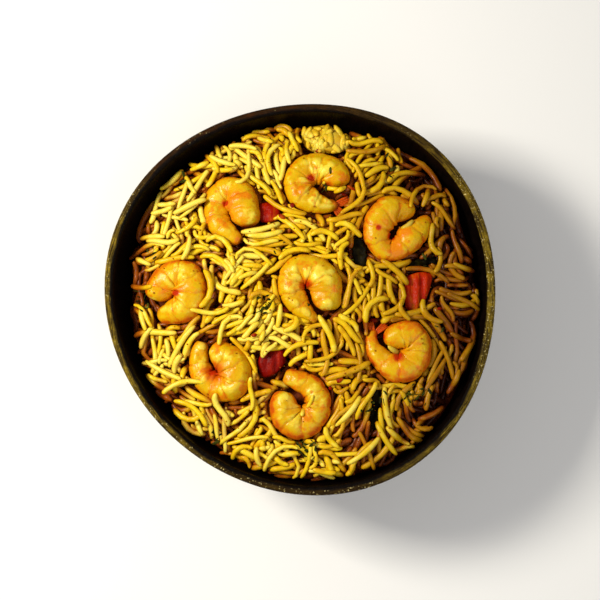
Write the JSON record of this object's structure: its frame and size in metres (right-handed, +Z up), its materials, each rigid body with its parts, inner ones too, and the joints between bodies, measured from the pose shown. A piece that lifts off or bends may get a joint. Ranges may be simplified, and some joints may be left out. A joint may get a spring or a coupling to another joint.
{
  "type": "bowl of shrimp biryani",
  "caption": "Domed heap of long yellow rice in a polished coconut-shell bowl, with curled shrimps, tomato pieces and wilted herb leaves lying on it",
  "frame": {"origin": "On the flat ground under the bowl, at the middle of the outline seen from above", "axes": "+Z up through the open bowl, +Y away from the viewer of the picture (its upper edge), +X to the viewer's right"},
  "size_m": [0.1296, 0.1304, 0.0598],
  "materials": {
    "shell": "polished, oiled coconut shell",
    "rice": "moist, slightly oily cooked rice",
    "shrimp": "moist, satin cooked shrimp",
    "tomato_dark": "wet, cooked tomato flesh",
    "tomato_bright": "wet, cooked tomato skin",
    "masala": "moist, crumbly",
    "leaf": "dark, wilted, slightly wet"
  },
  "bodies": {
    "root": {"bowl": "shell", "rice": "rice", "shrimp_1": "shrimp", "shrimp_2": "shrimp", "shrimp_3": "shrimp", "shrimp_4": "shrimp", "shrimp_5": "shrimp", "shrimp_6": "shrimp", "shrimp_7": "shrimp", "shrimp_8": "shrimp", "tomato_1": "tomato_dark", "tomato_2": "tomato_bright", "tomato_3": "tomato_dark", "masala_lump": "masala", "leaf_1": "leaf", "leaf_2": "leaf", "leaf_3": "leaf", "leaf_4": "leaf", "leaf_5": "leaf", "leaf_6": "leaf"}
  },
  "joints": []
}
